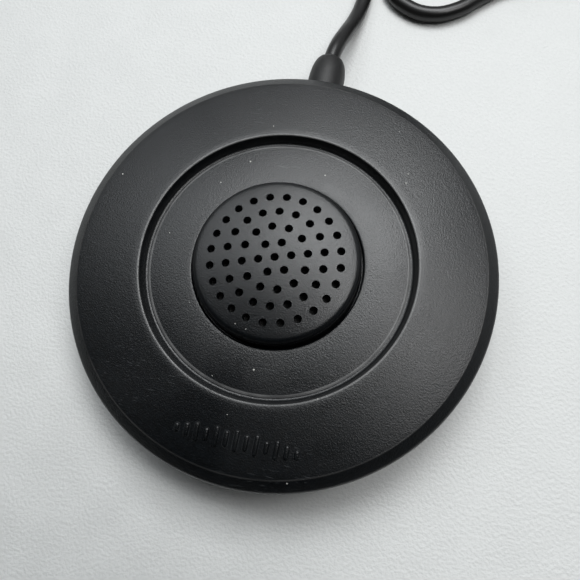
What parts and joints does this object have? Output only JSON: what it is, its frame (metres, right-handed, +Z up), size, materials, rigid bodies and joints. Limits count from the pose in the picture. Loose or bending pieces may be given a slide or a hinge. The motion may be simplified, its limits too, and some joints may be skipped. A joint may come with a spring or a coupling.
{
  "type": "tabletop puck microphone",
  "caption": "Low round black tabletop microphone with a perforated domed cap in a grooved cover, a rubber cord boot and a thin coiled lead ending in a small audio plug.",
  "frame": {"origin": "centre of the rubber foot ring where it meets the table", "axes": "+Z up through the middle of the grille cap, +Y towards the cord boot, -Y towards the raised mark on the cover"},
  "size_m": [0.0965, 0.163, 0.016],
  "materials": {
    "black_shell": "fine-textured moulded black plastic with a soft satin sheen",
    "black_inner_plastic": "plain moulded black plastic",
    "plug_plastic": "moulded black plastic, satin",
    "black_rubber": "matte soft rubber",
    "boot_rubber": "matte moulded rubber",
    "tie_rubber": "matte ribbed strap",
    "grey_rubber": "dark grey silicone rubber",
    "cord_jacket": "smooth satin cord jacket",
    "black_cloth": "fine acoustic mesh",
    "bright_aluminium": "drawn aluminium, satin",
    "zinc_steel": "zinc-plated steel",
    "nickel_plate": "polished nickel plate",
    "board_green": "green solder mask",
    "chip_dark": "moulded or sintered component body",
    "wire_red": "thin wire insulation",
    "wire_white": "thin wire insulation"
  },
  "bodies": {
    "root": {"top_cover": "black_shell", "base_plate": "black_inner_plastic", "foot_ring": "black_rubber", "ballast_plate": "zinc_steel", "grille_cap": "black_shell", "dust_cloth": "black_cloth", "cloth_ring": "grey_rubber", "capsule_can": "bright_aluminium", "capsule_felt": "black_cloth", "capsule_terminal_board": "board_green", "capsule_lead_1": "nickel_plate", "capsule_lead_2": "nickel_plate", "capsule_holder": "grey_rubber", "capsule_frame": "black_inner_plastic", "circuit_board": "board_green", "filter_capacitor_1": "bright_aluminium", "filter_capacitor_2": "bright_aluminium", "chip_part_1": "chip_dark", "chip_part_2": "chip_dark", "chip_part_3": "chip_dark", "ferrite_bead": "chip_dark", "cord_inner_end": "cord_jacket", "signal_wire": "wire_red", "ground_wire": "wire_white", "cord_clamp": "black_inner_plastic", "cord_boot": "boot_rubber", "cord": "cord_jacket", "cord_coil": "cord_jacket", "cord_tail": "cord_jacket", "cord_tie": "tie_rubber", "plug_relief": "boot_rubber", "plug_body": "plug_plastic", "plug_sleeve": "nickel_plate", "plug_insulator_1": "black_inner_plastic", "plug_ring": "nickel_plate", "plug_insulator_2": "black_inner_plastic", "plug_tip": "nickel_plate", "base_screw_1": "zinc_steel", "frame_screw_1": "zinc_steel", "base_screw_2": "zinc_steel", "frame_screw_2": "zinc_steel", "base_screw_3": "zinc_steel", "frame_screw_3": "zinc_steel", "board_screw_1": "zinc_steel", "clamp_screw_1": "zinc_steel", "board_screw_2": "zinc_steel", "clamp_screw_2": "zinc_steel"}
  },
  "joints": []
}
